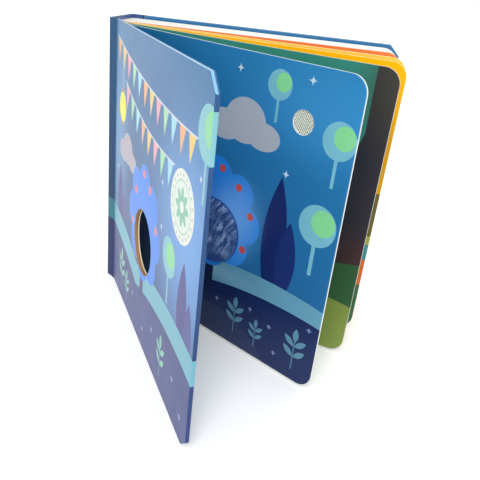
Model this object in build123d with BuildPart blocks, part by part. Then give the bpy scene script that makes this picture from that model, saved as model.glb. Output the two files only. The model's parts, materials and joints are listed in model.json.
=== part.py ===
"""A case-bound children's board book standing half open, with a touch-and-feel first leaf."""

import os
from math import cos, radians, sin, sqrt, tan

from build123d import *

os.makedirs("parts", exist_ok=True)

# Case: two boards and a spine held together by one printed wrap
cover_height = 190.0
board_width = 185.0
board_thickness = 2.2
board_corner_cut = 7.5
board_corner_softening = 2.0
spine_thickness = 2.2
spine_lean = 5.1
spine_corner_radius = 1.5
wrap_thickness = 0.7
hinge_strip_width = 8.7
hinge_strip_angle = 42.0
hinge_groove = 1.25
pastedown_thickness = 0.7
pastedown_inset = 3.0
front_cover_angle = 64.6

# Pages: a closed stack against the back cover, and four leaves that fan out of the same gutter
page_width = 190.5
page_inset = 2.5
page_corner_radius = 9.5
stack_thickness = 31.0
stack_clearance = 0.3
leaf_thickness = 2.0
leaf_angles = (38.0, 23.8, 14.4, 8.0)
gutter_depth = 3.0

# Die-cut finger hole in the front cover, and the round sticker beside it
hole_radius = 20.0
hole_along = 85.0
hole_height = 71.7
sticker_radius = 18.0
sticker_thickness = 0.2
sticker_along = 156.0
sticker_height = 124.4

# Touch patches let into the first leaf
window_depth = 1.0
patch_clearance = 0.1
fur_radius = 21.0
fur_along = 103.0
fur_height = 76.5
fur_pile = 1.5
fur_pile_rounding = 1.4
weave_radius = 6.4
weave_thickness = 0.6
weave_setback = 32.6
weave_drop = 29.3


def heading(angle):
    """Unit vector in plan, turned from +X towards the reader."""
    return Vector(cos(radians(angle)), -sin(radians(angle)))


def inward(angle):
    """Unit vector in plan, square to a heading and pointing away from the reader."""
    return Vector(sin(radians(angle)), cos(radians(angle)))


# The closed book's thickness gives the spine its depth; the spine leans out as the book stands open
back_face = board_thickness + pastedown_thickness + stack_clearance
stack_face = back_face + stack_thickness
leaf_count = len(leaf_angles)
spine_depth = stack_face + leaf_count * leaf_thickness + board_thickness
spine_front = Vector(-spine_depth * tan(radians(spine_lean)), -spine_depth)

# Hinge axes run up the middle of the wrap, at the far ends of the two bare strips
half_wrap = wrap_thickness / 2
strip_end = spine_front + heading(hinge_strip_angle) * hinge_strip_width
front_axis = strip_end + inward(hinge_strip_angle) * half_wrap
back_axis = Vector(hinge_strip_width, -half_wrap)

# The origin lies under the middle of the whole book's box
cover_reach = hinge_groove + board_width
front_corner = front_axis + heading(front_cover_angle) * cover_reach - inward(front_cover_angle) * half_wrap
corner_half_angle = (90 - spine_lean + hinge_strip_angle) / 2
corner_bisector = 90 - spine_lean - corner_half_angle
corner_centre_reach = spine_corner_radius / sin(radians(corner_half_angle))
spine_left = spine_front.X + corner_centre_reach * cos(radians(corner_bisector)) - spine_corner_radius
book_right = hinge_strip_width + cover_reach
centre = Vector((spine_left + book_right) / 2, front_corner.Y / 2)


def at(point):
    """A plan point measured from the book's origin."""
    return point - centre


def upright(point, angle):
    """A standing plane: X along the heading, Y up, facing the reader."""
    return Plane(origin=at(point), x_dir=heading(angle), z_dir=-inward(angle))


# Gutter line: the inner face of the leaning spine, where every leaf is glued
spine_lining = spine_thickness / cos(radians(spine_lean))


def gutter_point(depth):
    """The point of the gutter line at a depth in front of the back cover's outer face."""
    return Vector(spine_lining - depth * tan(radians(spine_lean)), -depth)


leaf_roots = [gutter_point(stack_face + (leaf_count - i) * leaf_thickness) for i in range(leaf_count)]

front_outer_plane = upright(front_axis, front_cover_angle).offset(half_wrap)
front_inner_plane = front_outer_plane.offset(-board_thickness)
back_outer_plane = upright(back_axis, 0).offset(-half_wrap)
back_inner_plane = back_outer_plane.offset(board_thickness)
first_leaf_plane = upright(leaf_roots[0], leaf_angles[0])

# The woven patch keeps its distance from the page's fore-edge and head
weave_along = page_width - weave_setback
weave_height = cover_height - page_inset - weave_drop


def board_outline(plane, inset):
    """A cover's outline: square at the hinge, cut off at the two fore-edge corners."""
    width = board_width - 2 * inset
    height = cover_height - 2 * inset
    corner_cut = board_corner_cut - inset * (2 - sqrt(2))
    with BuildSketch(plane) as outline:
        with Locations((hinge_groove + board_width / 2, cover_height / 2)):
            Rectangle(width, height)
        chamfer(outline.vertices().group_by(Axis.X)[-1], corner_cut)
        fillet(outline.vertices().sort_by(Axis.X)[2:], board_corner_softening)
    return outline.sketch


# Spine: a leaning board with a bare strip of wrap on each side, each strip ending in a round bead
strip_inside = inward(hinge_strip_angle)
gutter_run = Vector(-tan(radians(spine_lean)), -1)
strip_gap = wrap_thickness - (gutter_point(0) - spine_front).dot(strip_inside)
strip_root_depth = strip_gap / gutter_run.dot(strip_inside)
with BuildPart() as spine:
    with BuildSketch() as spine_plan:
        with BuildLine():
            Polyline(
                at(back_axis + Vector(0, half_wrap)),
                at(Vector(0, 0)),
                at(spine_front),
                at(strip_end),
                at(strip_end + strip_inside * wrap_thickness),
                at(gutter_point(strip_root_depth)),
                at(gutter_point(wrap_thickness)),
                at(back_axis - Vector(0, half_wrap)),
                close=True,
            )
        make_face()
        outer_corners = [at(Vector(0, 0)), at(spine_front)]
        fillet(
            [spine_plan.vertices().sort_by_distance(corner)[0] for corner in outer_corners],
            spine_corner_radius,
        )
        with Locations(at(front_axis), at(back_axis)):
            Circle(half_wrap)
    extrude(amount=cover_height)
spine.part.label = "spine"
export_step(spine.part, "parts/spine.step")

# Front cover: a wrapped board with a round finger hole
with BuildPart() as front_cover:
    extrude(board_outline(front_inner_plane, 0), amount=board_thickness)
    with BuildSketch(front_outer_plane):
        with Locations((hole_along, hole_height)):
            Circle(hole_radius)
    extrude(amount=-board_thickness, mode=Mode.SUBTRACT)
front_cover.part.label = "front_cover"
export_step(front_cover.part, "parts/front_cover.step")

# Front pastedown: a card glued inside the cover, cut with the same hole
with BuildPart() as front_pastedown:
    extrude(board_outline(front_inner_plane, pastedown_inset), amount=-pastedown_thickness)
    with BuildSketch(front_inner_plane):
        with Locations((hole_along, hole_height)):
            Circle(hole_radius)
    extrude(amount=-pastedown_thickness, mode=Mode.SUBTRACT)
front_pastedown.part.label = "front_pastedown"
export_step(front_pastedown.part, "parts/front_pastedown.step")

# Round sticker on the outside of the front cover
with BuildPart() as round_sticker:
    with BuildSketch(front_outer_plane):
        with Locations((sticker_along, sticker_height)):
            Circle(sticker_radius)
    extrude(amount=sticker_thickness)
round_sticker.part.label = "round_sticker"
export_step(round_sticker.part, "parts/round_sticker.step")

# Back cover: the same board without a hole
with BuildPart() as back_cover:
    extrude(board_outline(back_outer_plane, 0), amount=board_thickness)
back_cover.part.label = "back_cover"
export_step(back_cover.part, "parts/back_cover.step")

# Back pastedown: the card glued inside the back cover
with BuildPart() as back_pastedown:
    extrude(board_outline(back_inner_plane, pastedown_inset), amount=pastedown_thickness)
back_pastedown.part.label = "back_pastedown"
export_step(back_pastedown.part, "parts/back_pastedown.step")


def fore_edge(root, angle):
    """The reader's side and the far side of a leaf's fore-edge, in plan."""
    near = root + heading(angle) * page_width
    return near, near + inward(angle) * leaf_thickness


# Page block: plan of the stack and the fanned leaves, drawn round from the back of the gutter
stack_back = gutter_point(back_face)
stack_front = gutter_point(stack_face)
stack_edge = [stack_back + Vector(page_width, 0), stack_front + Vector(page_width, 0)]
block_plan = [stack_back, *stack_edge]
fore_edges = [stack_edge]
notch_base = stack_front
notch_angle = 0
for root, angle in reversed(list(zip(leaf_roots, leaf_angles))):
    near, far = fore_edge(root, angle)
    block_plan += [notch_base + heading(notch_angle) * gutter_depth]
    block_plan += [root + heading(angle) * gutter_depth + inward(angle) * leaf_thickness, far, near]
    fore_edges.append([near, far])
    notch_base = root
    notch_angle = angle
block_plan.append(leaf_roots[0])

with BuildPart() as page_block:
    with BuildSketch(Plane.XY.offset(page_inset)):
        with BuildLine():
            Polyline(*[at(point) for point in block_plan], close=True)
        make_face()
    extrude(amount=cover_height - 2 * page_inset)
    corners = []
    for near, far in fore_edges:
        middle = at((near + far) / 2)
        for height in (page_inset, cover_height - page_inset):
            corners += page_block.edges().sort_by_distance(Vector(middle.X, middle.Y, height))[:1]
    fillet(corners, page_corner_radius)
    with BuildSketch(first_leaf_plane):
        with Locations((fur_along, fur_height)):
            Circle(fur_radius)
        with Locations((weave_along, weave_height)):
            Circle(weave_radius)
    extrude(amount=-window_depth, mode=Mode.SUBTRACT)
page_block.part.label = "page_block"
export_step(page_block.part, "parts/page_block.step")

# Fur patch: a plush disc bedded in its window, with a crowned pile
with BuildPart() as fur_patch:
    with BuildSketch(first_leaf_plane.offset(-window_depth)):
        with Locations((fur_along, fur_height)):
            Circle(fur_radius - patch_clearance)
    extrude(amount=window_depth + fur_pile)
    towards_reader = Axis(first_leaf_plane.origin, first_leaf_plane.z_dir)
    fillet(fur_patch.edges().sort_by(towards_reader)[-1], fur_pile_rounding)
fur_patch.part.label = "fur_patch"
export_step(fur_patch.part, "parts/fur_patch.step")

# Woven patch: a small round of cloth at the bottom of its window
with BuildPart() as woven_patch:
    with BuildSketch(first_leaf_plane.offset(-window_depth)):
        with Locations((weave_along, weave_height)):
            Circle(weave_radius - patch_clearance)
    extrude(amount=weave_thickness)
woven_patch.part.label = "woven_patch"
export_step(woven_patch.part, "parts/woven_patch.step")
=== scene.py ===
import json
from math import atan2, cos, hypot, pi, radians, sin, sqrt, tan

import bpy
from mathutils import Matrix, Vector


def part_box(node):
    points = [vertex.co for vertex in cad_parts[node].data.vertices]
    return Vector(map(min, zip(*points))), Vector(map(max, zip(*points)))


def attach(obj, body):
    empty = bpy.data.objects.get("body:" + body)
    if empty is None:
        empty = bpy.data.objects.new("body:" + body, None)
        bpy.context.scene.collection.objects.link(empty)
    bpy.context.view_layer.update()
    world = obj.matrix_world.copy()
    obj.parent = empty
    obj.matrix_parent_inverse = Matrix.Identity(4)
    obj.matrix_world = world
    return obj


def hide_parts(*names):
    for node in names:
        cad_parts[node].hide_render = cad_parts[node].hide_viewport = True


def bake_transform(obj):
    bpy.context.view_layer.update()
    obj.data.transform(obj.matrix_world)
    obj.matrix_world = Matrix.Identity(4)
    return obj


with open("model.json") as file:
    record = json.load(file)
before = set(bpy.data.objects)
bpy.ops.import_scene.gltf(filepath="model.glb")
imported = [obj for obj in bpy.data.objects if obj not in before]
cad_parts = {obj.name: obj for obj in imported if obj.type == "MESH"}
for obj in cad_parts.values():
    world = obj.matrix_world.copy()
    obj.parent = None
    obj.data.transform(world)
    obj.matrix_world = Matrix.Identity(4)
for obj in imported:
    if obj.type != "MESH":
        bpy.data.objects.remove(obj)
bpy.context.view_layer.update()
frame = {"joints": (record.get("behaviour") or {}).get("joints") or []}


# Studio: the book stands on a white sweep in soft light from above and in front, and is seen from the
# front, a little above. The view was fitted to its straight edges in a 480 by 480 photograph.
mm = 0.001
view_place = Vector((3.14, -322.933, 224.539)) * mm
view_pitch = radians(25.153)
view_roll = radians(6.786)
view_yaw = radians(-0.238)


def linked(name, data):
    """A new object, put in the scene."""
    made = bpy.data.objects.new(name, data)
    bpy.context.scene.collection.objects.link(made)
    return made


camera_data = bpy.data.cameras.new("photo_camera")
camera_data.sensor_width = 36
camera_data.lens = 42.3665
camera = linked("photo_camera", camera_data)
camera.matrix_world = (
    Matrix.Translation(view_place)
    @ Matrix.Rotation(-view_yaw, 4, "Z")
    @ Matrix.Rotation(pi / 2 - view_pitch, 4, "X")
    @ Matrix.Rotation(view_roll, 4, "Z")
)
bpy.context.scene.camera = camera
bpy.context.scene.view_settings.view_transform = "Standard"


def linear(hex_colour):
    """A written sRGB colour as the linear red, green, blue and alpha that a node takes."""
    shares = [int(hex_colour[i:i + 2], 16) / 255 for i in (1, 3, 5)]
    return (*[s / 12.92 if s <= 0.04045 else ((s + 0.055) / 1.055) ** 2.4 for s in shares], 1)


def add(tree, kind, inputs=None, **settings):
    """Adds a node, gives it its settings, and sets or links its inputs by name or place. A node that is
    given as an input stands for its first output."""
    node = tree.nodes.new(kind)
    for name, value in settings.items():
        setattr(node, name, value)
    for key, value in (inputs or {}).items():
        if isinstance(value, bpy.types.Node):
            value = value.outputs[0]
        if isinstance(value, bpy.types.NodeSocket):
            tree.links.new(value, node.inputs[key])
        else:
            node.inputs[key].default_value = value
    return node


def new_material(name):
    """A new material, with its node tree and its shader."""
    material = bpy.data.materials.new(name)
    material.use_nodes = True
    return material, material.node_tree, material.node_tree.nodes["Principled BSDF"]


def backdrop_rays(tree):
    """1 for the rays that show the background: the camera's own, and those by way of gloss or glass."""
    rays = add(tree, "ShaderNodeLightPath").outputs
    shown = rays["Is Camera Ray"]
    for ray in ("Is Glossy Ray", "Is Transmission Ray"):
        shown = add(tree, "ShaderNodeMath", {0: shown, 1: rays[ray]}, operation="MAXIMUM")
    return shown


ambient_strength = 0.74
world = bpy.data.worlds.new("white_studio")
bpy.context.scene.world = world
world.use_nodes = True
tree = world.node_tree
tree.nodes.clear()
level = add(tree, "ShaderNodeMix", {0: backdrop_rays(tree), 2: ambient_strength, 3: 1.0}, data_type="FLOAT")
sky = add(tree, "ShaderNodeBackground", {"Color": linear("#ffffff"), "Strength": level})
add(tree, "ShaderNodeOutputWorld", {"Surface": sky})

sun_data = bpy.data.lights.new("window_light", "SUN")
sun_data.energy = 1.5
sun_data.angle = radians(30)
sun = linked("window_light", sun_data)
sun_from = Vector((-0.1, -0.75, 0.85))
sun.rotation_euler = sun_from.to_track_quat("Z", "Y").to_euler()

floor_half = 30.0
floor_lift = 0.22
corners = [(x * floor_half, y * floor_half, 0) for x, y in ((-1, -1), (1, -1), (1, 1), (-1, 1))]
floor_mesh = bpy.data.meshes.new("floor")
floor_mesh.from_pydata(corners, [], [(0, 1, 2, 3)])
floor = linked("floor", floor_mesh)
# White paper: matt, so it shows the book's soft shadow and no gloss
sweep, tree, paper = new_material("white_paper_sweep")
paper.inputs["Base Color"].default_value = linear("#fafafa")
paper.inputs["Roughness"].default_value = 0.9
paper.inputs["Specular IOR Level"].default_value = 0.0
paper.inputs["Emission Color"].default_value = linear("#ffffff")
lift = add(tree, "ShaderNodeMath", {0: backdrop_rays(tree), 1: floor_lift}, operation="MULTIPLY")
tree.links.new(lift.outputs[0], paper.inputs["Emission Strength"])
floor_mesh.materials.append(sweep)


# Board leaves: thick laminated card, printed on both faces and cut with round fore-edge corners. Four
# leaves fan out of the gutter, and the rest lie closed against the back cover.
cover_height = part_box("spine")[1].z
page_width = 190.5 * mm
page_foot = 2.5 * mm
page_corner = 9.5 * mm
leaf_thickness = 2.0 * mm
fan_turns = (38.0, 23.8, 14.4, 8.0)
stack_near = 34.2 * mm
stack_thickness = 31.0 * mm
stack_leaves = 15
cut_rounding = 0.25 * mm
spine_board = 2.2 * mm
spine_lean = radians(5.1)
strip_width = 8.7 * mm
hinges = {joint["name"]: Vector(joint["pos_m"]) for joint in frame["joints"]}
back_hinge = hinges["back_cover_hinge"]
spine_corner = Vector((back_hinge.x - strip_width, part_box("spine")[1].y, 0))


def gutter(depth):
    """The point on the spine's lining where a leaf that lies this far from the back is glued."""
    return spine_corner + Vector((spine_board / cos(spine_lean) - depth * tan(spine_lean), -depth, 0))


def standing(foot, turn):
    """A frame for something that stands: X along it, Y up, Z towards the reader."""
    upright = Matrix.Rotation(pi / 2, 4, "X")
    return Matrix.Translation(foot) @ Matrix.Rotation(-radians(turn), 4, "Z") @ upright


def outline(corners, steps=8):
    """A closed outline through corners (x, y, radius), each rounded by its own radius."""
    points = []
    for i, (x, y, radius) in enumerate(corners):
        corner = Vector((x, y))
        before = (Vector(corners[i - 1][:2]) - corner).normalized()
        after = (Vector(corners[(i + 1) % len(corners)][:2]) - corner).normalized()
        half = before.angle(after) / 2
        centre = corner + (before + after).normalized() * radius / sin(half)
        first = corner + before * radius / tan(half) - centre
        last = corner + after * radius / tan(half) - centre
        sweep = atan2(first.cross(last), first.dot(last))
        turns = range(steps + 1) if radius else [0]
        points += [centre + Matrix.Rotation(sweep * k / steps, 2) @ first for k in turns]
    return points


def ring(centre, radius, steps=72):
    """A whole circle as an outline."""
    angles = [2 * pi * i / steps for i in range(steps)]
    return [(centre[0] + radius * cos(a), centre[1] + radius * sin(a)) for a in angles]


def plain_mesh(carrier):
    """The finished mesh of an object that was made only to carry it."""
    evaluated = carrier.evaluated_get(bpy.context.evaluated_depsgraph_get())
    mesh = bpy.data.meshes.new_from_object(evaluated)
    bpy.data.objects.remove(carrier)
    return mesh


def cut_sheet(name, outlines, thickness, rounding):
    """A sheet with softened edges, its near face at z = 0. Faces: 0 near, 1 far, 2 cut edges."""
    flat_on = 0.99
    curve = bpy.data.curves.new(name, "CURVE")
    curve.dimensions = "2D"
    curve.fill_mode = "BOTH"
    curve.extrude = thickness / 2 - rounding
    curve.bevel_depth = rounding
    curve.bevel_resolution = 2
    for points in outlines:
        spline = curve.splines.new("POLY")
        spline.points.add(len(points) - 1)
        for point, (x, y) in zip(spline.points, points):
            point.co = (x, y, 0, 1)
        spline.use_cyclic_u = True
    mesh = plain_mesh(linked(name, curve))
    mesh.transform(Matrix.Translation((0, 0, -thickness / 2)))
    for face in mesh.polygons:
        face.material_index = 0 if face.normal.z > flat_on else 1 if face.normal.z < -flat_on else 2
        face.use_smooth = face.material_index == 2
    return mesh


def leaf_mesh(windows=(), thickness=leaf_thickness):
    """One leaf, or one ply of it, with any round windows cut through."""
    left, right = cut_rounding, page_width - cut_rounding
    foot, head = page_foot + cut_rounding, cover_height - page_foot - cut_rounding
    corner = page_corner - cut_rounding
    blank = outline([(left, foot, 0), (right, foot, corner), (right, head, corner), (left, head, 0)])
    holes = [ring(centre, radius + cut_rounding) for centre, radius in windows]
    return cut_sheet("leaf", [blank, *holes], thickness, cut_rounding)


noise_low, noise_high = 0.3, 0.7
glow_strength = 0.8
mottle_width, mottle_share = 4.0, 0.02
sheen_width, sheen_share = 20.0, 0.05
ripples_per_mm, ripple_strength, ripple_height = 0.9, 0.02, 0.1 * mm


def shape_reach(tree, kind, local):
    """How far a point of a print lies from a shape's middle, where the shape's edge is at 1."""
    if kind in ("disc", "glow"):
        return add(tree, "ShaderNodeVectorMath", {0: local}, operation="LENGTH").outputs["Value"]
    axes = add(tree, "ShaderNodeSeparateXYZ", {0: local}).outputs
    wide = add(tree, "ShaderNodeMath", {0: axes["X"]}, operation="ABSOLUTE")
    tall = add(tree, "ShaderNodeMath", {0: axes["Y"]}, operation="ABSOLUTE")
    if kind == "leaf":
        return add(tree, "ShaderNodeMath", {0: wide, 1: wide, 2: tall}, operation="MULTIPLY_ADD")
    if kind == "box":
        return add(tree, "ShaderNodeMath", {0: wide, 1: tall}, operation="MAXIMUM")
    wide = add(tree, "ShaderNodeMath", {0: wide}, operation="SQRT")
    tall = add(tree, "ShaderNodeMath", {0: tall}, operation="SQRT")
    return add(tree, "ShaderNodeMath", {0: wide, 1: tall}, operation="ADD")


def printed_board(name, place, ground, shapes, roll=None, gloss=0.3, roughness=0.33):
    """Gloss-laminated print: flat inks on white card under a clear film, so the colours stay clean and
    the film gives a soft sheen. Shapes are (kind, colour, middle, half sizes, turn) in millimetres, and a
    kind that is a function paints by itself. Where the film rolls over an edge, roll is the depth that it
    reaches and the colour that shows past it."""
    material, tree, shader = new_material(name)
    where = add(tree, "ShaderNodeTexCoord").outputs["Object"]
    page = add(tree, "ShaderNodeMapping", {
        "Vector": where, "Location": place.to_translation(), "Rotation": place.to_euler(),
        "Scale": (mm, mm, mm),
    }, vector_type="TEXTURE")
    depths = add(tree, "ShaderNodeSeparateXYZ", {0: page}).outputs
    rise = add(tree, "ShaderNodeMapRange", {0: depths["Y"], 1: 0.0, 2: cover_height / mm})
    ink = add(tree, "ShaderNodeMix", {
        0: rise, 6: linear(ground[0]), 7: linear(ground[1]),
    }, data_type="RGBA").outputs[2]
    flat = add(tree, "ShaderNodeVectorMath", {0: page, 1: (1, 1, 0)}, operation="MULTIPLY")
    for kind, colour, middle, halves, turn in shapes:
        # A plain circle is one distance, which keeps a long list of shapes within what a shader can hold
        if kind == "disc" and halves[0] == halves[1]:
            edge = halves[0]
            reach = add(tree, "ShaderNodeVectorMath", {
                0: flat, 1: (*middle, 0),
            }, operation="DISTANCE").outputs["Value"]
        else:
            edge = 1.0
            local = add(tree, "ShaderNodeMapping", {
                "Vector": flat, "Location": (*middle, 0), "Rotation": (0, 0, radians(turn)),
                "Scale": (*halves, 1),
            }, vector_type="TEXTURE")
            if callable(kind):
                ink = kind(tree, local, ink, colour)
                continue
            reach = shape_reach(tree, kind, local)
        if kind == "glow":
            cover = add(tree, "ShaderNodeMapRange", {
                0: reach, 1: 1.0, 2: 0.0, 3: 0.0, 4: glow_strength,
            }, interpolation_type="SMOOTHSTEP")
        else:
            cover = add(tree, "ShaderNodeMath", {0: reach, 1: edge}, operation="LESS_THAN")
        ink = add(tree, "ShaderNodeMix", {0: cover, 6: ink, 7: linear(colour)}, data_type="RGBA").outputs[2]
    if roll:
        past = add(tree, "ShaderNodeMath", {0: depths["Z"], 1: -roll[0]}, operation="LESS_THAN")
        ink = add(tree, "ShaderNodeMix", {0: past, 6: ink, 7: linear(roll[1])}, data_type="RGBA").outputs[2]
    grain = add(tree, "ShaderNodeTexNoise", {"Vector": page, "Scale": 1 / mottle_width, "Detail": 3.0})
    tone = add(tree, "ShaderNodeMapRange", {
        0: grain, 1: noise_low, 2: noise_high, 3: 1 - mottle_share, 4: 1 + mottle_share,
    })
    ink = add(tree, "ShaderNodeHueSaturation", {"Color": ink, "Value": tone}).outputs[0]
    tree.links.new(ink, shader.inputs["Base Color"])
    film = add(tree, "ShaderNodeTexNoise", {"Vector": page, "Scale": 1 / sheen_width, "Detail": 2.0})
    sheen = add(tree, "ShaderNodeMapRange", {
        0: film, 3: roughness - sheen_share, 4: roughness + sheen_share,
    }).outputs[0]
    tree.links.new(sheen, shader.inputs["Roughness"])
    ripple = add(tree, "ShaderNodeTexNoise", {"Vector": page, "Scale": ripples_per_mm, "Detail": 1.0})
    bump = add(tree, "ShaderNodeBump", {
        "Height": ripple, "Strength": ripple_strength, "Distance": ripple_height,
    }).outputs[0]
    tree.links.new(bump, shader.inputs["Normal"])
    shader.inputs["Specular IOR Level"].default_value = gloss
    return material


fibre_strength, fibre_height = 0.15, 0.05 * mm


def fibrous(name, colour, variation, roughness, grain):
    """Cut board, card or cotton: matt, with a mottle of fibres at the given size in millimetres."""
    material, tree, shader = new_material(name)
    where = add(tree, "ShaderNodeTexCoord").outputs["Object"]
    fibre = add(tree, "ShaderNodeTexNoise", {"Vector": where, "Scale": 1 / (grain * mm), "Detail": 5.0})
    share = add(tree, "ShaderNodeMapRange", {0: fibre, 1: noise_low, 2: noise_high})
    ink = add(tree, "ShaderNodeMix", {
        0: share, 6: linear(colour), 7: linear(variation),
    }, data_type="RGBA").outputs[2]
    tree.links.new(ink, shader.inputs["Base Color"])
    shader.inputs["Roughness"].default_value = roughness
    bump = add(tree, "ShaderNodeBump", {
        "Height": fibre, "Strength": fibre_strength, "Distance": fibre_height,
    }).outputs[0]
    tree.links.new(bump, shader.inputs["Normal"])
    return material


fur_middle = (103.0 * mm, 76.5 * mm)
fur_radius = 21.0 * mm
weave_middle = (157.9 * mm, 158.2 * mm)
weave_radius = 6.4 * mm
window_depth = 1.0 * mm
fan_feet = [gutter(stack_near + (len(fan_turns) - i) * leaf_thickness) for i in range(len(fan_turns))]
fan_places = [standing(foot, turn) for foot, turn in zip(fan_feet, fan_turns)]
stack_place = standing(gutter(stack_near), 0)


def round_tree(middle, radius, crown, light, trunk):
    """A round tree on a thin trunk, its crown lighter on one side."""
    x, y = middle
    return [
        ("box", trunk, (x, y - 1.5 * radius), (0.1 * radius, radius), 0),
        ("disc", crown, middle, (radius, radius), 0),
        ("disc", light, (x + 0.28 * radius, y + 0.2 * radius), (0.63 * radius, 0.63 * radius), 0),
    ]


def leafy_tree(middle, radius, crown, trunk, foot):
    """A broad tree with a lobed crown, on a trunk that reaches down to a foot height."""
    x, y = middle
    half = (y - foot) / 2
    lobe = 0.34 * radius
    out = radius - lobe
    lobes = [(x + out * cos(pi * i / 4), y + out * sin(pi * i / 4)) for i in range(8)]
    return [
        ("box", trunk, (x, y - half), (0.11 * radius, half), 0),
        ("disc", crown, middle, (0.8 * radius, 0.8 * radius), 0),
        *[("disc", crown, centre, (lobe, lobe), 0) for centre in lobes],
    ]


def scattered(kind, colour, half, spots):
    """Small shapes of one kind and size, such as stars or round fruit, set about a print."""
    return [(kind, colour, spot, (half, half), 0) for spot in spots]


def cypress(foot, height, half_width, colour):
    """A slim pointed tree."""
    return [("leaf", colour, (foot[0], foot[1] + height / 2), (height / 2, half_width), 90)]


def sprig(foot, height, stem, blade):
    """A fern-like sprig: a stem with two pairs of leaves and one more at its tip."""
    x, y = foot
    leaves = [("leaf", blade, (x, y + height), (0.2 * height, 0.085 * height), 90)]
    for share in (0.4, 0.7):
        for side in (-1, 1):
            middle = (x + 0.17 * side * height, y + (share + 0.1) * height)
            leaves.append(("leaf", blade, middle, (0.2 * height, 0.08 * height), 90 - 52 * side))
    return [("box", stem, (x, y + height / 2), (0.5, height / 2), 0), *leaves]


# Leaf prints: a night wood of round trees on hills, then plainer spreads in teal, amber, yellow and
# orange. Their film rolls over the cut edge, and past it white card shows.
film_roll = (1.0, "#fdfdfb")
mint_tree = ("#7fc4d3", "#8ee39c", "#7fc4d3")
teal_tree = ("#2c5f52", "#4d9a86", "#403d3a")
blue_sprig = ("#4b7899", "#5d93a8")
night_shapes = [
    # Painted shade at the top left, where the cover shades the leaf, and painted light at the top right
    ("glow", "#1a6088", (20, 165), (95, 80), 0),
    ("glow", "#4198d1", (170, 165), (78, 40), 0),
    ("disc", "#b9bfc6", (104, 145), (14, 9), 0),
    ("disc", "#b9bfc6", (119, 150), (15, 13), 0),
    ("disc", "#b9bfc6", (133, 144), (12, 8), 0),
    *cypress((150, 46), 80, 8.5, "#182a66"),
    *cypress((160, 50), 52, 7, "#1d3270"),
    *round_tree((177, 106), 12, *mint_tree),
    *round_tree((181, 154), 10, *mint_tree),
    *round_tree((140, 174), 8, *mint_tree),
    ("disc", "#6ba7bd", (150, -240), (300, 300), 0),
    # Painted light over the inner part of the teal band, lifting the shade there
    ("glow", "#8cc6d8", (104, 50), (46, 9), 0),
    ("disc", "#0b2659", (165, -250), (297, 297), 0),
    ("disc", "#223560", (110, -40), (60, 64), 0),
    # A grey-blue bush in the print, painted lighter as painted light that lifts the deep shade seen through
    # the cover's hole
    ("disc", "#586a88", (30, 34), (48, 42), 0),
    *leafy_tree((102, 88), 37, "#2c90ec", "#16244a", 36),
    # A painted highlight on the crown
    ("glow", "#74bcff", (120, 88), (26, 36), 0),
    *scattered("disc", "#e0564e", 2.4, ((128, 72), (131, 95), (106, 118), (120, 110), (88, 112))),
    *sprig((128, 12), 22, *blue_sprig),
    *sprig((146, 10), 17, *blue_sprig),
    *sprig((176, 10), 24, *blue_sprig),
    *scattered("star", "#7d92bd", 2.6, ((112, 30), (140, 35), (156, 30), (162, 14), (184, 42))),
    *scattered("star", "#cfe6ee", 3, ((70, 150), (88, 172), (112, 178), (152, 128), (160, 180))),
]
leaf_prints = [
    printed_board("night_blue_print", fan_places[0], ("#236598", "#2a82b8"), night_shapes, roll=film_roll),
    printed_board("teal_print", fan_places[1], ("#2f7466", "#3a8f80"), [
        ("box", "#34323a", (200, 130), (22.7, 62), 0),
        ("disc", "#34323a", (205, 80), (38, 102), 0),
        ("glow", "#48443c", (190, 180), (30, 50), 0),
        ("glow", "#4a3030", (188, 74), (30, 22), 0),
        ("disc", "#36603c", (215, -130), (200, 200), 0),
        ("disc", "#859a49", (150, -160), (202, 202), 0),
    ], roll=film_roll),
    printed_board("amber_print", fan_places[2], ("#f6c400", "#fcc600"), [
        # Painted shade: darker amber along the fore-edge, where the teal leaf in front shades this one
        ("glow", "#c99f00", (191, 128), (18, 68), 0),
        ("box", "#6e6c34", (95, 90.7), (100, 15.3), 0),
        ("box", "#a8b548", (95, 72.5), (100, 3), 0),
        ("box", "#3f9aa5", (95, 63.7), (100, 5.8), 0),
        ("box", "#dd7434", (95, 48.2), (100, 9.8), 0),
        ("box", "#3d7048", (95, 19.2), (100, 19.2), 0),
    ], roll=film_roll),
    printed_board("light_yellow_print", fan_places[3], ("#fdd456", "#fdd456"), [], roll=film_roll),
]
stack_print = printed_board("orange_print", stack_place, ("#f78c44", "#f78c44"), [], roll=film_roll)
back_prints = [
    printed_board("teal_back_print", fan_places[0], ("#34796c", "#388a86"), [
        ("disc", "#395f3c", (60, -40), (140, 96), 6),
        ("disc", "#8aa84a", (120, -60), (130, 88), -10),
        *round_tree((52, 96), 18, *teal_tree),
        *round_tree((128, 110), 24, *teal_tree),
    ]),
    printed_board("amber_back_print", fan_places[1], ("#f9b800", "#f9b800"), [
        ("disc", "#a8b548", (70, -60), (150, 100), 0),
        ("disc", "#ee7c35", (140, 130), (26, 26), 0),
        *round_tree((58, 96), 20, "#6e6c34", "#a8b548", "#6e6c34"),
    ]),
    printed_board("light_yellow_back_print", fan_places[2], ("#fdd456", "#fdd456"), [
        ("disc", "#ee7c35", (90, -70), (160, 108), 0),
        *round_tree((120, 104), 20, "#3f9aa5", "#7fc4d3", "#6e6c34"),
    ]),
    printed_board("orange_back_print", fan_places[3], ("#f07f3a", "#f07f3a"), [
        ("disc", "#c75a3a", (80, -70), (170, 106), 0),
        *round_tree((70, 96), 18, "#f9b800", "#fdd456", "#6e6c34"),
    ]),
]
# Bare page board: matt white fibre, which gives the closed leaves their soft, faintly mottled edges
page_edge = fibrous("white_page_board", "#fbfaf6", "#f3f0e8", 0.8, 0.4)


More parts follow.
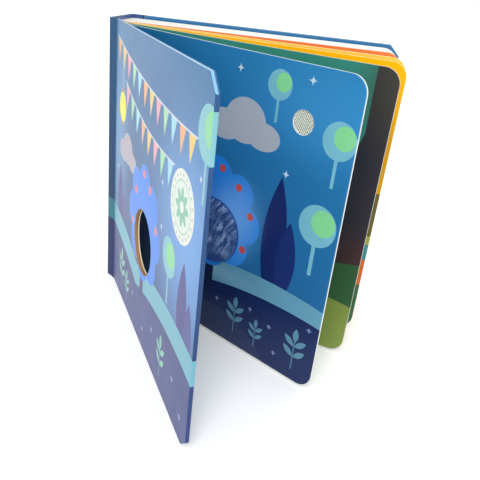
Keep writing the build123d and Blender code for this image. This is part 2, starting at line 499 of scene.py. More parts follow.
def piece(name, meshes):
    """Meshes in their places, joined into one object."""
    objects = [linked(name, mesh) for mesh in meshes]
    if len(objects) > 1:
        with bpy.context.temp_override(active_object=objects[0], selected_editable_objects=objects):
            bpy.ops.object.join()
    return objects[0]


def dressed(mesh, place, *materials):
    """Puts a mesh in its place and gives it its materials, for a sheet the near face, far face and edges."""
    for material in materials:
        mesh.materials.append(material)
    mesh.transform(place)
    return mesh


def node_tree(name, sizes):
    """A Geometry Nodes tree with a mesh going in and out, and a named input for each size."""
    tree = bpy.data.node_groups.new(name, "GeometryNodeTree")
    tree.interface.new_socket("Mesh", in_out="OUTPUT", socket_type="NodeSocketGeometry")
    tree.interface.new_socket("Mesh", in_out="INPUT", socket_type="NodeSocketGeometry")
    kinds = {int: "NodeSocketInt", float: "NodeSocketFloat", list: "NodeSocketVector"}
    for size, value in sizes.items():
        tree.interface.new_socket(size, in_out="INPUT", socket_type=kinds[type(value)])
    return tree, tree.nodes.new("NodeGroupInput").outputs


def grown(tree, result, material, mesh, sizes):
    """Ends a tree in plain geometry of one material, runs it on a mesh and gives back the new mesh."""
    whole = add(tree, "GeometryNodeRealizeInstances", {0: result})
    coated = add(tree, "GeometryNodeSetMaterial", {"Geometry": whole, "Material": material})
    add(tree, "NodeGroupOutput", {0: coated})
    carrier = linked(tree.name, mesh)
    modifier = carrier.modifiers.new(tree.name, "NODES")
    modifier.node_group = tree
    sockets = {item.name: item.identifier for item in tree.interface.items_tree if item.in_out == "INPUT"}
    for size, value in sizes.items():
        modifier[sockets[size]] = value
    return plain_mesh(carrier)


leaves = []
front_ply = leaf_mesh([(fur_middle, fur_radius), (weave_middle, weave_radius)], window_depth)
rear_ply = leaf_mesh((), leaf_thickness - window_depth)
rear_ply.transform(Matrix.Translation((0, 0, -window_depth)))
# The film stops short at the small window, so white card shows in its wall
for face in front_ply.polygons:
    reach = hypot(face.center.x - weave_middle[0], face.center.y - weave_middle[1])
    if face.material_index == 2 and reach < weave_radius + cut_rounding:
        face.material_index = 1
leaves.append(dressed(front_ply, fan_places[0], leaf_prints[0], page_edge, leaf_prints[0]))
leaves.append(dressed(rear_ply, fan_places[0], page_edge, back_prints[0], leaf_prints[0]))
for place, near, far in list(zip(fan_places, leaf_prints, back_prints))[1:]:
    leaves.append(dressed(leaf_mesh(), place, near, far, near))
stack_leaf = stack_thickness / stack_leaves
leaves.append(dressed(leaf_mesh((), stack_leaf), stack_place, stack_print, page_edge, stack_print))

# The closed leaves behind the printed one are copies of a plain leaf, none of them quite in line
closed_sizes = {
    "Leaves": stack_leaves - 1,
    "Step": list(gutter(0) - gutter(stack_leaf)),
    "Slip": 0.15 * mm,
    "Seed": 4,
}
tree, given = node_tree("closed_leaves", closed_sizes)
row = add(tree, "GeometryNodeMeshLine", {
    "Count": given["Leaves"], "Start Location": given["Step"], "Offset": given["Step"],
}, mode="OFFSET")
stray = add(tree, "FunctionNodeRandomValue", {
    0: (-1, 0, -1), 1: (1, 0, 1), "Seed": given["Seed"],
}, data_type="FLOAT_VECTOR")
slip = add(tree, "ShaderNodeVectorMath", {0: stray, "Scale": given["Slip"]}, operation="SCALE")
row = add(tree, "GeometryNodeSetPosition", {"Geometry": row, "Offset": slip})
copies = add(tree, "GeometryNodeInstanceOnPoints", {"Points": row, "Instance": given["Mesh"]})
plain_leaf = dressed(leaf_mesh((), stack_leaf), stack_place, page_edge, page_edge, page_edge)
leaves.append(grown(tree, copies, page_edge, plain_leaf, closed_sizes))
board_leaves = piece("board_leaves", leaves)
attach(board_leaves, "block")
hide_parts("page_block")


# Fur patch: long-pile plush on a woven ground, cut round and glued behind the first leaf's window, so
# that the pile stands a little out of it. The pile is combed one way and parts in tufts.
fur_clearance = 0.1 * mm
ground_rise = 0.4 * mm
ground_rounding = 0.3 * mm
pile_sizes = {
    "Density": 5.2 / mm ** 2,
    "Length": 5.5 * mm,
    "Height": 1.6 * mm,
    "Thickness": 0.34 * mm,
    "Lay": radians(245),
    "Tuft": 9.0 * mm,
    "Painted_streak": 1.5 * mm,
    "Reach": fur_radius - fur_clearance,
    "Seed": 11,
}
crest_share, tip_share, tip_taper = 0.2, 0.7, 0.2
swirl_turn, stray_turn, stray_lift, stray_size = 0.4, 0.3, (-0.15, 0.12), (0.75, 1.1)
sheen_streak_drawn, sheen_streak_range, stray_shade = (0.16, 1, 1), (0.45, 0.66), 0.25
sheen_patch_range, sheen_patch_levels = (0.35, 0.65), (0.1, 1.2)
painted_light_direction, painted_light_levels = (0.35, 0.94, 0), (0.1, 1.9)
# Polyester plush: navy fibres with a random tone each, under painted sheen: steel-blue streaks and patches
# of painted highlight over a dark ground, with painted light that grows towards the top
plush, tree, shader = new_material("navy_plush_painted_sheen")
tone_and_painted_light = add(tree, "ShaderNodeAttribute", attribute_name="tone_and_painted_light").outputs["Fac"]
ink = add(tree, "ShaderNodeMix", {
    0: tone_and_painted_light, 6: linear("#0d52a4"), 7: linear("#c0dcff"),
}, data_type="RGBA").outputs[2]
tree.links.new(ink, shader.inputs["Base Color"])
shader.inputs["Roughness"].default_value = 0.36
shader.inputs["Specular IOR Level"].default_value = 0.3

tree, given = node_tree("combed_pile", pile_sizes)
roots = add(tree, "GeometryNodeDistributePointsOnFaces", {
    "Mesh": given["Mesh"], "Density": given["Density"], "Seed": given["Seed"],
}).outputs["Points"]
lean = add(tree, "ShaderNodeMath", {0: given["Length"], 1: crest_share}, operation="MULTIPLY")
crest = add(tree, "ShaderNodeCombineXYZ", {"X": lean, "Z": given["Height"]})
drop = add(tree, "ShaderNodeMath", {0: given["Height"], 1: tip_share}, operation="MULTIPLY")
tip = add(tree, "ShaderNodeCombineXYZ", {"X": given["Length"], "Z": drop})
strand = add(tree, "GeometryNodeCurveQuadraticBezier", {
    "Resolution": 4, "Start": (0, 0, 0), "Middle": crest, "End": tip,
})
along = add(tree, "GeometryNodeSplineParameter").outputs["Factor"]
taper = add(tree, "ShaderNodeMapRange", {0: along, 3: 1.0, 4: tip_taper})
strand = add(tree, "GeometryNodeSetCurveRadius", {"Curve": strand, "Radius": taper})
half_thick = add(tree, "ShaderNodeMath", {0: given["Thickness"], 1: 0.5}, operation="MULTIPLY")
section = add(tree, "GeometryNodeCurvePrimitiveCircle", {"Resolution": 3, "Radius": half_thick})
strand = add(tree, "GeometryNodeCurveToMesh", {
    "Curve": strand, "Profile Curve": section, "Fill Caps": True,
})
spot = add(tree, "GeometryNodeInputPosition")
tufts = add(tree, "ShaderNodeMath", {0: 1.0, 1: given["Tuft"]}, operation="DIVIDE")
part = add(tree, "ShaderNodeTexNoise", {"Vector": spot, "Scale": tufts, "Detail": 1.0})
swirl = add(tree, "ShaderNodeMapRange", {
    0: part, 1: noise_low, 2: noise_high, 3: -swirl_turn, 4: swirl_turn,
})
stray = add(tree, "FunctionNodeRandomValue", {
    2: -stray_turn, 3: stray_turn, "Seed": given["Seed"],
}).outputs[1]
turn = add(tree, "ShaderNodeMath", {0: swirl, 1: stray}, operation="ADD")
turn = add(tree, "ShaderNodeMath", {0: turn, 1: given["Lay"]}, operation="ADD")
lift = add(tree, "FunctionNodeRandomValue", {
    2: stray_lift[0], 3: stray_lift[1], "Seed": given["Seed"],
}).outputs[1]
pose = add(tree, "ShaderNodeCombineXYZ", {"Y": lift, "Z": turn})
size = add(tree, "FunctionNodeRandomValue", {
    2: stray_size[0], 3: stray_size[1], "Seed": given["Seed"],
}).outputs[1]
pile = add(tree, "GeometryNodeInstanceOnPoints", {
    "Points": roots, "Instance": strand, "Rotation": pose, "Scale": size,
})
combed = add(tree, "ShaderNodeVectorRotate", {
    "Vector": spot, "Angle": given["Lay"],
}, rotation_type="Z_AXIS", invert=True)
# Painted sheen: streaks along the lay and broad patches of painted highlight, then painted light that grows
# towards the top; each strand adds a random tone
drawn = add(tree, "ShaderNodeVectorMath", {0: combed, 1: sheen_streak_drawn}, operation="MULTIPLY")
sheen_streak_scale = add(tree, "ShaderNodeMath", {0: 1.0, 1: given["Painted_streak"]}, operation="DIVIDE")
sheen_streak = add(tree, "ShaderNodeTexNoise", {"Vector": drawn, "Scale": sheen_streak_scale, "Detail": 1.0})
sheen_streak = add(tree, "ShaderNodeMapRange", {0: sheen_streak, 1: sheen_streak_range[0], 2: sheen_streak_range[1]})
sheen_patch = add(tree, "ShaderNodeMapRange", {
    0: part, 1: sheen_patch_range[0], 2: sheen_patch_range[1], 3: sheen_patch_levels[0], 4: sheen_patch_levels[1],
})
sheen_streak = add(tree, "ShaderNodeMath", {0: sheen_streak, 1: sheen_patch}, operation="MULTIPLY")
slope = add(tree, "ShaderNodeVectorMath", {0: spot, 1: painted_light_direction}, operation="DOT_PRODUCT").outputs["Value"]
slope = add(tree, "ShaderNodeMath", {0: slope, 1: given["Reach"]}, operation="DIVIDE")
painted_light_gradient = add(tree, "ShaderNodeMapRange", {0: slope, 1: -1.0, 2: 1.0, 3: painted_light_levels[0], 4: painted_light_levels[1]})
sheen_streak = add(tree, "ShaderNodeMath", {0: sheen_streak, 1: painted_light_gradient}, operation="MULTIPLY")
chance = add(tree, "FunctionNodeRandomValue", {2: 0.0, 3: stray_shade, "Seed": given["Seed"]}).outputs[1]
chance = add(tree, "ShaderNodeMath", {0: sheen_streak, 1: chance}, operation="ADD")
pile = add(tree, "GeometryNodeStoreNamedAttribute", {
    "Geometry": pile, "Name": "tone_and_painted_light", "Value": chance,
}, data_type="FLOAT", domain="INSTANCE")
pile = add(tree, "GeometryNodeRealizeInstances", {0: pile})
spread = add(tree, "ShaderNodeVectorMath", {0: spot, 1: (1, 1, 0)}, operation="MULTIPLY")
reach = add(tree, "ShaderNodeVectorMath", {0: spread}, operation="LENGTH").outputs["Value"]
share = add(tree, "ShaderNodeMath", {0: given["Reach"], 1: reach}, operation="DIVIDE")
share = add(tree, "ShaderNodeMath", {0: share, 1: 1.0}, operation="MINIMUM")
squeeze = add(tree, "ShaderNodeCombineXYZ", {"X": share, "Y": share, "Z": 1.0})
inside = add(tree, "ShaderNodeVectorMath", {0: spot, 1: squeeze}, operation="MULTIPLY")
pile = add(tree, "GeometryNodeSetPosition", {"Geometry": pile, "Position": inside})
root_disc = bpy.data.meshes.new("pile_roots")
root_points = ring((0, 0), fur_radius - 2 * fur_clearance)
root_disc.from_pydata([(x, y, ground_rise) for x, y in root_points], [], [range(len(root_points))])
fur_place = fan_places[0] @ Matrix.Translation((*fur_middle, 0))
pile_mesh = grown(tree, pile, plush, root_disc, pile_sizes)
pile_mesh.transform(fur_place)
plush_ground = cut_sheet(
    "plush_ground", [ring((0, 0), fur_radius - fur_clearance - ground_rounding)],
    window_depth + ground_rise, ground_rounding,
)
plush_ground.transform(Matrix.Translation((0, 0, ground_rise)))
fur_patch = piece("plush_patch", [dressed(plush_ground, fur_place, plush, plush, plush), pile_mesh])
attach(fur_patch, "block")
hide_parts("fur_patch")


# Woven patch: a small round of plain-woven cotton at the bottom of its own window. Its threads are drawn
# a little coarser than such cloth has, so that the weave still shows from a step away.
weave_clearance = 0.15 * mm
weave_sizes = {
    "Radius": weave_radius - weave_clearance,
    "Threads": 11,
    "Pitch": 1.15 * mm,
    "Thread": 0.29 * mm,
    "Wave": 0.14 * mm,
}
weave_depth = 0.65 * mm
weave_turn = radians(42)
gap_shade_thickness = 0.15 * mm
gap_shade_rounding = 0.05 * mm
# Undyed cotton: matt and off-white, over a grey disc of painted shade that darkens the gaps between the
# threads
gap_painted_shade = fibrous("grey_painted_gap_shade", "#a2a898", "#8c9383", 0.9, 0.5)
cotton = fibrous("undyed_cotton_thread", "#f2f5e8", "#d8ddce", 0.85, 0.5)
tree, given = node_tree("plain_weave", weave_sizes)
extent = add(tree, "ShaderNodeMath", {0: given["Threads"], 1: 1.0}, operation="SUBTRACT")
extent = add(tree, "ShaderNodeMath", {0: extent, 1: given["Pitch"]}, operation="MULTIPLY")
extent = add(tree, "ShaderNodeMath", {0: extent, 1: -0.5}, operation="MULTIPLY")
first = add(tree, "ShaderNodeCombineXYZ", {"Y": extent})
step = add(tree, "ShaderNodeCombineXYZ", {"Y": given["Pitch"]})
rows = add(tree, "GeometryNodeMeshLine", {
    "Count": given["Threads"], "Start Location": first, "Offset": step,
}, mode="OFFSET")
number = add(tree, "GeometryNodeInputIndex")
rows = add(tree, "GeometryNodeStoreNamedAttribute", {
    "Geometry": rows, "Name": "row", "Value": number,
}, data_type="FLOAT", domain="POINT")
spot = add(tree, "GeometryNodeInputPosition")
axes = add(tree, "ShaderNodeSeparateXYZ", {0: spot}).outputs
square = add(tree, "ShaderNodeMath", {0: given["Radius"], 1: 2.0}, operation="POWER")
offset = add(tree, "ShaderNodeMath", {0: axes["Y"], 1: axes["Y"]}, operation="MULTIPLY")
chord = add(tree, "ShaderNodeMath", {0: square, 1: offset}, operation="SUBTRACT")
chord = add(tree, "ShaderNodeMath", {0: chord}, operation="SQRT")
stretch = add(tree, "ShaderNodeCombineXYZ", {"X": chord, "Y": 1.0, "Z": 1.0})
thread = add(tree, "GeometryNodeCurvePrimitiveLine", {"Start": (-1, 0, 0), "End": (1, 0, 0)})
threads = add(tree, "GeometryNodeInstanceOnPoints", {
    "Points": rows, "Instance": thread, "Scale": stretch,
})
threads = add(tree, "GeometryNodeRealizeInstances", {0: threads})
quarter = add(tree, "ShaderNodeMath", {0: given["Pitch"], 1: 0.25}, operation="MULTIPLY")
threads = add(tree, "GeometryNodeResampleCurve", {
    "Curve": threads, "Length": quarter,
}, mode="LENGTH")
row = add(tree, "GeometryNodeInputNamedAttribute", {"Name": "row"}, data_type="FLOAT")
phase = add(tree, "ShaderNodeMath", {0: axes["X"], 1: given["Pitch"]}, operation="DIVIDE")
phase = add(tree, "ShaderNodeMath", {0: phase, 1: row}, operation="ADD")
phase = add(tree, "ShaderNodeMath", {0: phase, 1: pi}, operation="MULTIPLY")
wave = add(tree, "ShaderNodeMath", {0: phase}, operation="COSINE")
wave = add(tree, "ShaderNodeMath", {0: wave, 1: given["Wave"]}, operation="MULTIPLY")
over = add(tree, "ShaderNodeCombineXYZ", {"Z": wave})
round_thread = add(tree, "GeometryNodeCurvePrimitiveCircle", {
    "Resolution": 6, "Radius": given["Thread"],
})
threads = add(tree, "GeometryNodeSetPosition", {"Geometry": threads, "Offset": over})
warp = add(tree, "GeometryNodeCurveToMesh", {
    "Curve": threads, "Profile Curve": round_thread, "Fill Caps": True,
})
weft = add(tree, "GeometryNodeTransform", {"Geometry": warp, "Rotation": (pi, 0, pi / 2)})
cloth = add(tree, "GeometryNodeJoinGeometry")
for thread_set in (warp, weft):
    tree.links.new(thread_set.outputs[0], cloth.inputs[0])
empty = bpy.data.meshes.new("plain_weave")
woven = grown(tree, cloth, cotton, empty, weave_sizes)
weave_place = fan_places[0] @ Matrix.Translation((*weave_middle, -weave_depth))
woven.transform(weave_place @ Matrix.Rotation(weave_turn, 4, "Z"))
gap_shade_outline = ring((0, 0), weave_radius - 2 * gap_shade_rounding)
gap_shade_disc = cut_sheet("painted_gap_shade_disc", [gap_shade_outline], gap_shade_thickness, gap_shade_rounding)
gap_shade_place = weave_place @ Matrix.Translation((0, 0, weave_depth + gap_shade_thickness - window_depth))
woven_patch = piece("woven_patch_cloth", [dressed(gap_shade_disc, gap_shade_place, gap_painted_shade, gap_painted_shade, gap_painted_shade), woven])
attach(woven_patch, "block")
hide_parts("woven_patch")


# Spine: a board in the same printed wrap as the covers, which runs on past it on both sides as the bare
# strips that the covers hinge on.
case_night = ("#2d3f7c", "#2f72a6")
front_hinge = hinges["front_cover_hinge"]
wrap_thickness = 0.7 * mm
wrap_rounding = 0.3 * mm
strip_turn = radians(42)
spine_bend = 1.5 * mm
soft_angle = radians(40)
spine_depth = stack_near + len(fan_turns) * leaf_thickness + spine_board
strip_along = Vector((cos(strip_turn), -sin(strip_turn)))
strip_inward = Vector((sin(strip_turn), cos(strip_turn)))
spine_back = spine_corner.to_2d()
spine_front = spine_back + Vector((-spine_depth * tan(spine_lean), -spine_depth))
strip_end = spine_front + strip_along * strip_width
lining_run = Vector((-tan(spine_lean), -1))
lining_gap = wrap_thickness - (gutter(0).to_2d() - spine_front).dot(strip_inward)
lining_front = gutter(lining_gap / lining_run.dot(strip_inward)).to_2d()
spine_plan = outline([
    (*(spine_back + Vector((strip_width, 0))), 0),
    (*(spine_back + Vector((strip_width, -wrap_thickness))), 0),
    (*gutter(wrap_thickness).to_2d(), 0),
    (*lining_front, 0),
    (*(strip_end + strip_inward * wrap_thickness), 0),
    (*strip_end, 0),
    (*spine_front, spine_bend),
    (*spine_back, spine_bend),
])
# Spine wrap: the cover's night colours in a deeper tone, as painted shade for the spine, which turns away
# from the light, under a film with less sheen
spine_print_and_shade = printed_board("spine_wrap_painted_shade", standing(spine_corner, 0), ("#18345f", "#165079"), [
    ("box", "#2f7684", (0, 57.5), (60, 8), 0),
    ("box", "#1c2d62", (0, 24.7), (60, 24.8), 0),
], gloss=0.2)
# Inner faces of the spine: a lighter blue than the wrap, a painted highlight, so the spine's head shows
# against the dark gutter
spine_inner_highlight = printed_board("spine_inner_painted_highlight", standing(spine_corner, 0), ("#4a669f", "#4a669f"), [])
spine_mesh = bpy.data.meshes.new("spine_wrapped")
count = len(spine_plan)
spine_mesh.from_pydata(
    [(*point, level) for level in (0, cover_height) for point in spine_plan], [],
    [range(count), range(2 * count - 1, count - 1, -1)]
    + [(i, count + i, count + (i + 1) % count, (i + 1) % count) for i in range(count)],
)
inward_facing = 0.9
for face in spine_mesh.polygons:
    inside = face.normal.x > inward_facing or face.normal.y < -inward_facing
    face.material_index = 1 if inside else 0
spine = piece("spine_wrapped", [dressed(spine_mesh, Matrix.Identity(4), spine_print_and_shade, spine_inner_highlight)])
softened = spine.modifiers.new("softened", "BEVEL")
softened.width = wrap_rounding
softened.segments = 3
softened.limit_method = "ANGLE"
softened.angle_limit = soft_angle
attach(spine, "block")
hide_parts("spine")


# Front cover: greyboard in a printed, laminated wrap that turns in over the edges, die-cut with a round
# finger hole. The bare board shows in the hole's wall.
cover_turn = 64.6
board_thickness = 2.2 * mm
board_width = 185.0 * mm
board_cut = 7.5 * mm
board_softening = 2.0 * mm
board_rounding = 0.45 * mm
hinge_groove = 1.25 * mm
hole_middle = (85.0 * mm, 71.7 * mm)
hole_radius = 20.0 * mm
front_place = standing(front_hinge, cover_turn) @ Matrix.Translation((0, 0, wrap_thickness / 2))


def board_blank(name, inset, holes, thickness, rounding):
    """A cover's board, or a card glued inside it and smaller all round by an inset."""
    edge = inset + rounding
    left, right = hinge_groove + edge, hinge_groove + board_width - edge
    foot, head = edge, cover_height - edge
    cut = board_cut - edge * (2 - sqrt(2))
    soft = board_softening - rounding
    blank = outline([
        (left, foot, 0), (right - cut, foot, soft), (right, foot + cut, soft),
        (right, head - cut, soft), (right - cut, head, soft), (left, head, 0),
    ])
    cuts = [ring(centre, radius + rounding) for centre, radius in holes]
    return cut_sheet(name, [blank, *cuts], thickness, rounding)


def flag_row(flags):
    """Paints a row of pennants on a sagging string, in a frame one flag wide and one flag high."""
    sag = 0.43
    flag_share = 0.7
    string_share = 0.035
    string_colour = linear("#d5dbe8")

    def paint(tree, local, ink, colours):
        axes = add(tree, "ShaderNodeSeparateXYZ", {0: local}).outputs
        run = add(tree, "ShaderNodeMath", {0: axes["X"], 1: 2 / flags}, operation="MULTIPLY")
        run = add(tree, "ShaderNodeMath", {0: run}, operation="ABSOLUTE")
        bow = add(tree, "ShaderNodeMath", {0: run, 1: run}, operation="MULTIPLY")
        hang = add(tree, "ShaderNodeMath", {0: bow, 1: sag, 2: -sag}, operation="MULTIPLY_ADD")
        depth = add(tree, "ShaderNodeMath", {0: hang, 1: axes["Y"]}, operation="SUBTRACT")
        place = add(tree, "ShaderNodeMath", {0: axes["X"]}, operation="FRACT")
        place = add(tree, "ShaderNodeMath", {0: place, 1: 0.5}, operation="SUBTRACT")
        place = add(tree, "ShaderNodeMath", {0: place}, operation="ABSOLUTE")
        side = add(tree, "ShaderNodeMath", {
            0: place, 1: 2 / flag_share, 2: depth,
        }, operation="MULTIPLY_ADD")
        above = add(tree, "ShaderNodeMath", {0: depth, 1: 0.0}, operation="LESS_THAN")
        above = add(tree, "ShaderNodeMath", {0: above, 1: run}, operation="ADD")
        flag = add(tree, "ShaderNodeMath", {0: side, 1: above}, operation="MAXIMUM")
        flag = add(tree, "ShaderNodeMath", {0: flag, 1: 1.0}, operation="LESS_THAN")
        number = add(tree, "ShaderNodeMath", {0: axes["X"]}, operation="FLOOR")
        number = add(tree, "ShaderNodeMath", {0: number, 1: len(colours)}, operation="FLOORED_MODULO")
        for i, colour in enumerate(colours):
            mine = add(tree, "ShaderNodeMath", {0: number, 1: i, 2: 0.5}, operation="COMPARE")
            mine = add(tree, "ShaderNodeMath", {0: mine, 1: flag}, operation="MULTIPLY")
            ink = add(tree, "ShaderNodeMix", {
                0: mine, 6: ink, 7: linear(colour),
            }, data_type="RGBA").outputs[2]
        string = add(tree, "ShaderNodeMath", {0: depth}, operation="ABSOLUTE")
        string = add(tree, "ShaderNodeMath", {0: string, 1: 1 / string_share}, operation="MULTIPLY")
        string = add(tree, "ShaderNodeMath", {0: string, 1: run}, operation="MAXIMUM")
        string = add(tree, "ShaderNodeMath", {0: string, 1: 1.0}, operation="LESS_THAN")
        return add(tree, "ShaderNodeMix", {0: string, 6: ink, 7: string_colour}, data_type="RGBA").outputs[2]

    return paint


def lantern(middle, radius, hook):
    """A round paper lantern between two caps, on a thread from a hook height."""
    x, y = middle
    half = (hook - y) / 2
    return [
        ("box", "#c9cfe0", (x, y + half), (0.45, half), 0),
        ("box", "#c08f3c", middle, (0.36 * radius, 1.16 * radius), 0),
        ("disc", "#f3f14e", middle, (radius, radius), 0),
    ]


pastels = ("#f3cf74", "#f2aab4", "#a6dfae", "#a3def0", "#f3b27a")
bunting = [
    (flag_row(12), pastels, (88, 171), (13.9, 14), -6.8),
    (flag_row(8), pastels, (86, 148.5), (13.9, 14), -8.9),
]
cover_tree = ("#86c6cf", "#90dca0", "#86c6cf")
mint_sprig = ("#6f9ab2", "#8cc9b4")
cover_hills = [
    ("disc", "#74b6c6", (-20, -234), (300, 300), 0),
    ("disc", "#74b6c6", (150, -240), (301, 301), 0),
    ("disc", "#353f80", (-20, -250), (300, 300), 0),
    ("disc", "#353f80", (150, -254), (300, 300), 0),
]
cover_shapes = [
    # Painted sheen: the two soft glows stand in for the film's pale haze, at the left by the hinge and at
    # the right
    ("glow", "#79acd8", (4, 118), (48, 105), 0),
    ("glow", "#78b2f2", (166, 112), (80, 80), 0),
    *lantern((23, 139), 9.5, 175),
    ("disc", "#b3adb9", (28, 112), (12, 7), 0),
    ("disc", "#b3adb9", (40, 116), (13, 10), 0),
    ("disc", "#b3adb9", (53, 111), (11, 6), 0),
    *cypress((20, 50), 50, 7, "#46478a"),
    *cypress((31, 46), 36, 6, "#4f5194"),
    *cypress((165, 46), 54, 7.5, "#46478a"),
    *cypress((176, 46), 38, 6, "#4f5194"),
    *round_tree((182, 166), 12, *cover_tree),
    *round_tree((140, 90), 11, *cover_tree),
    *cover_hills,
    *leafy_tree((86, 84), 37, "#3f8af0", "#2f3570", 34),
    *scattered("disc", "#ee7f7a", 2.6, ((60, 76), (66, 99), (98, 110), (113, 92), (84, 115))),
    *sprig((30, 10), 26, *mint_sprig),
    *sprig((46, 8), 20, *mint_sprig),
    *sprig((134, 9), 24, *mint_sprig),
    *scattered("star", "#a8b0d4", 3, ((64, 24), (92, 14), (114, 28), (158, 26), (174, 14))),
    *scattered("star", "#d6deee", 2.6, ((122, 124), (178, 146), (124, 100), (12, 96))),
    *bunting,
]
# Cover wrap: bright under its film in front, deeper where it turns over the fore-edge, and painted pale
# along the head as a painted highlight, where the head catches the light
front_print = printed_board("cover_print", front_place, case_night, cover_shapes)
edge_print = printed_board("cover_edge_wrap", front_place, ("#24386c", "#2a5a8c"), [
    ("box", "#86c6cf", (185, 165), (6, 11), 0),
    ("box", "#74b6c6", (185, 51.2), (6, 7.6), 0),
    ("box", "#2b437e", (185, 21.8), (6, 21.8), 0),
])
head_painted_highlight = printed_board("cover_head_painted_highlight", front_place, ("#8fc4ea", "#8fc4ea"), [], roll=(1.3, "#3a6da0"))
inner_wrap = printed_board("cover_turned_in_wrap", front_place, case_night, [])
# Greyboard: recycled brown fibre, cut raw, which shows as a matt tan band in the hole's wall
grey_board = fibrous("tan_greyboard", "#a9845a", "#8a6a46", 0.9, 0.5)
upward_facing = 0.5
front_cover = dressed(
    board_blank("front_cover_wrapped", 0, [(hole_middle, hole_radius)], board_thickness, board_rounding),
    Matrix.Identity(4), front_print, inner_wrap, edge_print, grey_board, head_painted_highlight,
)
# The hole's wall shows bare greyboard, and the edge faces that face up take the head's painted highlight
for face in front_cover.polygons:
    reach = hypot(face.center.x - hole_middle[0], face.center.y - hole_middle[1])
    if face.material_index == 2 and reach < hole_radius + board_rounding:
        face.material_index = 3
    elif face.material_index == 2 and face.normal.y > upward_facing:
        face.material_index = 4
front_cover.transform(front_place)
wrapped_front = piece("front_cover_wrapped", [front_cover])
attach(wrapped_front, "front_board")
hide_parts("front_cover")


# Front pastedown: a card printed to match the first leaf, glued over the turned-in wrap on the inside of
# the board, and die-cut with the same hole.
card_thickness = 0.7 * mm
card_inset = 3.0 * mm
card_rounding = 0.12 * mm
# Cream card: uncoated at its cut edge, a pale line beside the tan board in the hole
card_edge = fibrous("cream_card", "#f3e6c4", "#e4d3a8", 0.8, 0.4)
night_spots = ((30, 160), (70, 172), (110, 150), (160, 166))
inner_place = front_place @ Matrix.Translation((0, 0, -board_thickness))
inner_print = printed_board("pastedown_print", inner_place, ("#236a9e", "#2a7bb2"), [
    ("disc", "#6ba7bd", (60, -100), (200, 140), 8),
    ("disc", "#22386a", (110, -140), (210, 164), 10),
    *round_tree((150, 96), 22, "#1f7fd4", "#62a8f0", "#1c2a66"),
    *scattered("star", "#cfe6ee", 3, night_spots),
])
front_card = dressed(
    board_blank("front_card", card_inset, [(hole_middle, hole_radius)], card_thickness, card_rounding),
    inner_place, card_edge, inner_print, card_edge,
)
front_pastedown = piece("front_pastedown_card", [front_card])
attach(front_pastedown, "front_board")
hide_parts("front_pastedown")


# Round sticker: pale coated paper, printed with a mint flower in a dotted border, cut round and stuck to
# the front cover.
sticker_radius = 18.0 * mm
sticker_thickness = 0.2 * mm
sticker_rounding = 0.06 * mm
sticker_middle = (156.0 * mm, 124.4 * mm)
sticker_place = front_place @ Matrix.Translation((*sticker_middle, sticker_thickness))
rim_ring = 15.4
rim_dots = [(rim_ring * cos(radians(a)), rim_ring * sin(radians(a))) for a in range(0, 360, 18)]
petal_ring, petal_halves = 5.4, (4.4, 2)
petals = [
    ("disc", "#86c4a9", (petal_ring * cos(radians(a)), petal_ring * sin(radians(a))), petal_halves, a)
    for a in range(0, 360, 45)
]
# Coated paper: nearly white, with a soft even sheen
sticker_print = printed_board("coated_sticker_paper", sticker_place, ("#e9ece4", "#e9ece4"), [
    ("disc", "#a9d3be", (0, 0), (13.2, 13.2), 0),
    ("disc", "#dfece3", (0, 0), (12.4, 12.4), 0),
    *petals,
    ("disc", "#f0f2ea", (0, 0), (2.8, 2.8), 0),
    *scattered("disc", "#a9cdbb", 0.9, rim_dots),
], roughness=0.3)
sticker_mesh = cut_sheet(
    "round_sticker_paper", [ring((0, 0), sticker_radius - sticker_rounding)],
    sticker_thickness, sticker_rounding,
)
sticker = piece("round_sticker_paper", [
    dressed(sticker_mesh, sticker_place, sticker_print, sticker_print, sticker_print)
])
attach(sticker, "front_board")
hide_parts("round_sticker")


# Back cover and its pastedown: the same greyboard, laminated wrap and glued card as in front, without a
# hole. The wrap's edges are painted paler than its face, and lighter towards the head, as a painted
# highlight where they catch the light.
back_place = standing(back_hinge + Vector((0, wrap_thickness / 2, 0)), 0)
back_edge_highlight = printed_board("back_cover_edge_painted_highlight", back_place, ("#33406c", "#6a8bb0"), cover_hills)
back_print = printed_board("back_cover_print", back_place, case_night, [
    *round_tree((128, 100), 15, *cover_tree),
    *cypress((30, 50), 54, 7.5, "#46478a"),
    *cypress((41, 46), 38, 6, "#4f5194"),
    *cover_hills,
    *leafy_tree((78, 100), 26, "#4c90ea", "#2f3570", 40),
    *scattered("star", "#cfe6ee", 3, night_spots),
])
back_wrap = dressed(
    board_blank("back_cover_wrapped", 0, [], board_thickness, board_rounding),
    back_place @ Matrix.Translation((0, 0, board_thickness)), inner_wrap, back_print, back_edge_highlight,
)
wrapped_back = piece("back_cover_wrapped", [back_wrap])
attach(wrapped_back, "back_board")
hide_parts("back_cover")

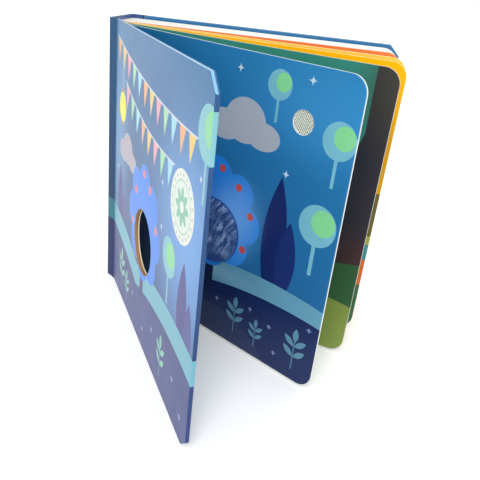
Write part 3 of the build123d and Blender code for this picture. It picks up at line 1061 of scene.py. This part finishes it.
back_card = dressed(
    board_blank("back_card", card_inset, [], card_thickness, card_rounding),
    back_place @ Matrix.Translation((0, 0, board_thickness + card_thickness)),
    inner_print, card_edge, card_edge,
)
back_pastedown = piece("back_pastedown_card", [back_card])
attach(back_pastedown, "back_board")
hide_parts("back_pastedown")


# Hinge wraps: the stretch of the printed wrap that crosses each joint groove, pressed a little way into
# it and left free of board.
wrap_film = 0.25 * mm
wrap_proud = 0.12 * mm
wrap_hold = 2.0 * mm
groove_dip = 0.35 * mm
wrap_steps = 12


def hinge_wrap(name, crease, before, after, outward):
    """A bent strip of wrap along a crease, between the spine on one side and a cover on the other."""
    run_in, run_out = wrap_hold, hinge_groove + board_rounding
    start, end = crease - before * run_in, crease + after * run_out
    middle = crease - outward * groove_dip
    path = []
    for i in range(wrap_steps + 1):
        t = i / wrap_steps
        path.append((1 - t) ** 2 * start + 2 * t * (1 - t) * middle + t ** 2 * end)
    plan = [point + outward * wrap_proud for point in path]
    plan += [point + outward * (wrap_proud - wrap_film) for point in reversed(path)]
    mesh = bpy.data.meshes.new(name)
    count = len(plan)
    mesh.from_pydata(
        [(*point, level) for level in (0, cover_height) for point in plan], [],
        [(i, count - 1 - i, count - 2 - i, i + 1) for i in range(wrap_steps)]
        + [(count + i, count + i + 1, 2 * count - 2 - i, 2 * count - 1 - i) for i in range(wrap_steps)]
        + [(i, (i + 1) % count, count + (i + 1) % count, count + i) for i in range(count)],
    )
    mesh.update()
    # The strip takes the spine wrap's deeper tone, which is painted shade
    wrap = piece(name, [dressed(mesh, Matrix.Identity(4), spine_print_and_shade)])
    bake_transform(wrap)


cover_along = Vector((cos(radians(cover_turn)), -sin(radians(cover_turn))))
front_outward = -(strip_inward + Vector((-cover_along.y, cover_along.x))).normalized()
hinge_wrap("front_hinge_wrap", strip_end, strip_along, cover_along, front_outward)
back_crease = spine_back + Vector((strip_width, 0))
hinge_wrap("back_hinge_wrap", back_crease, Vector((1, 0)), Vector((1, 0)), Vector((0, 1)))
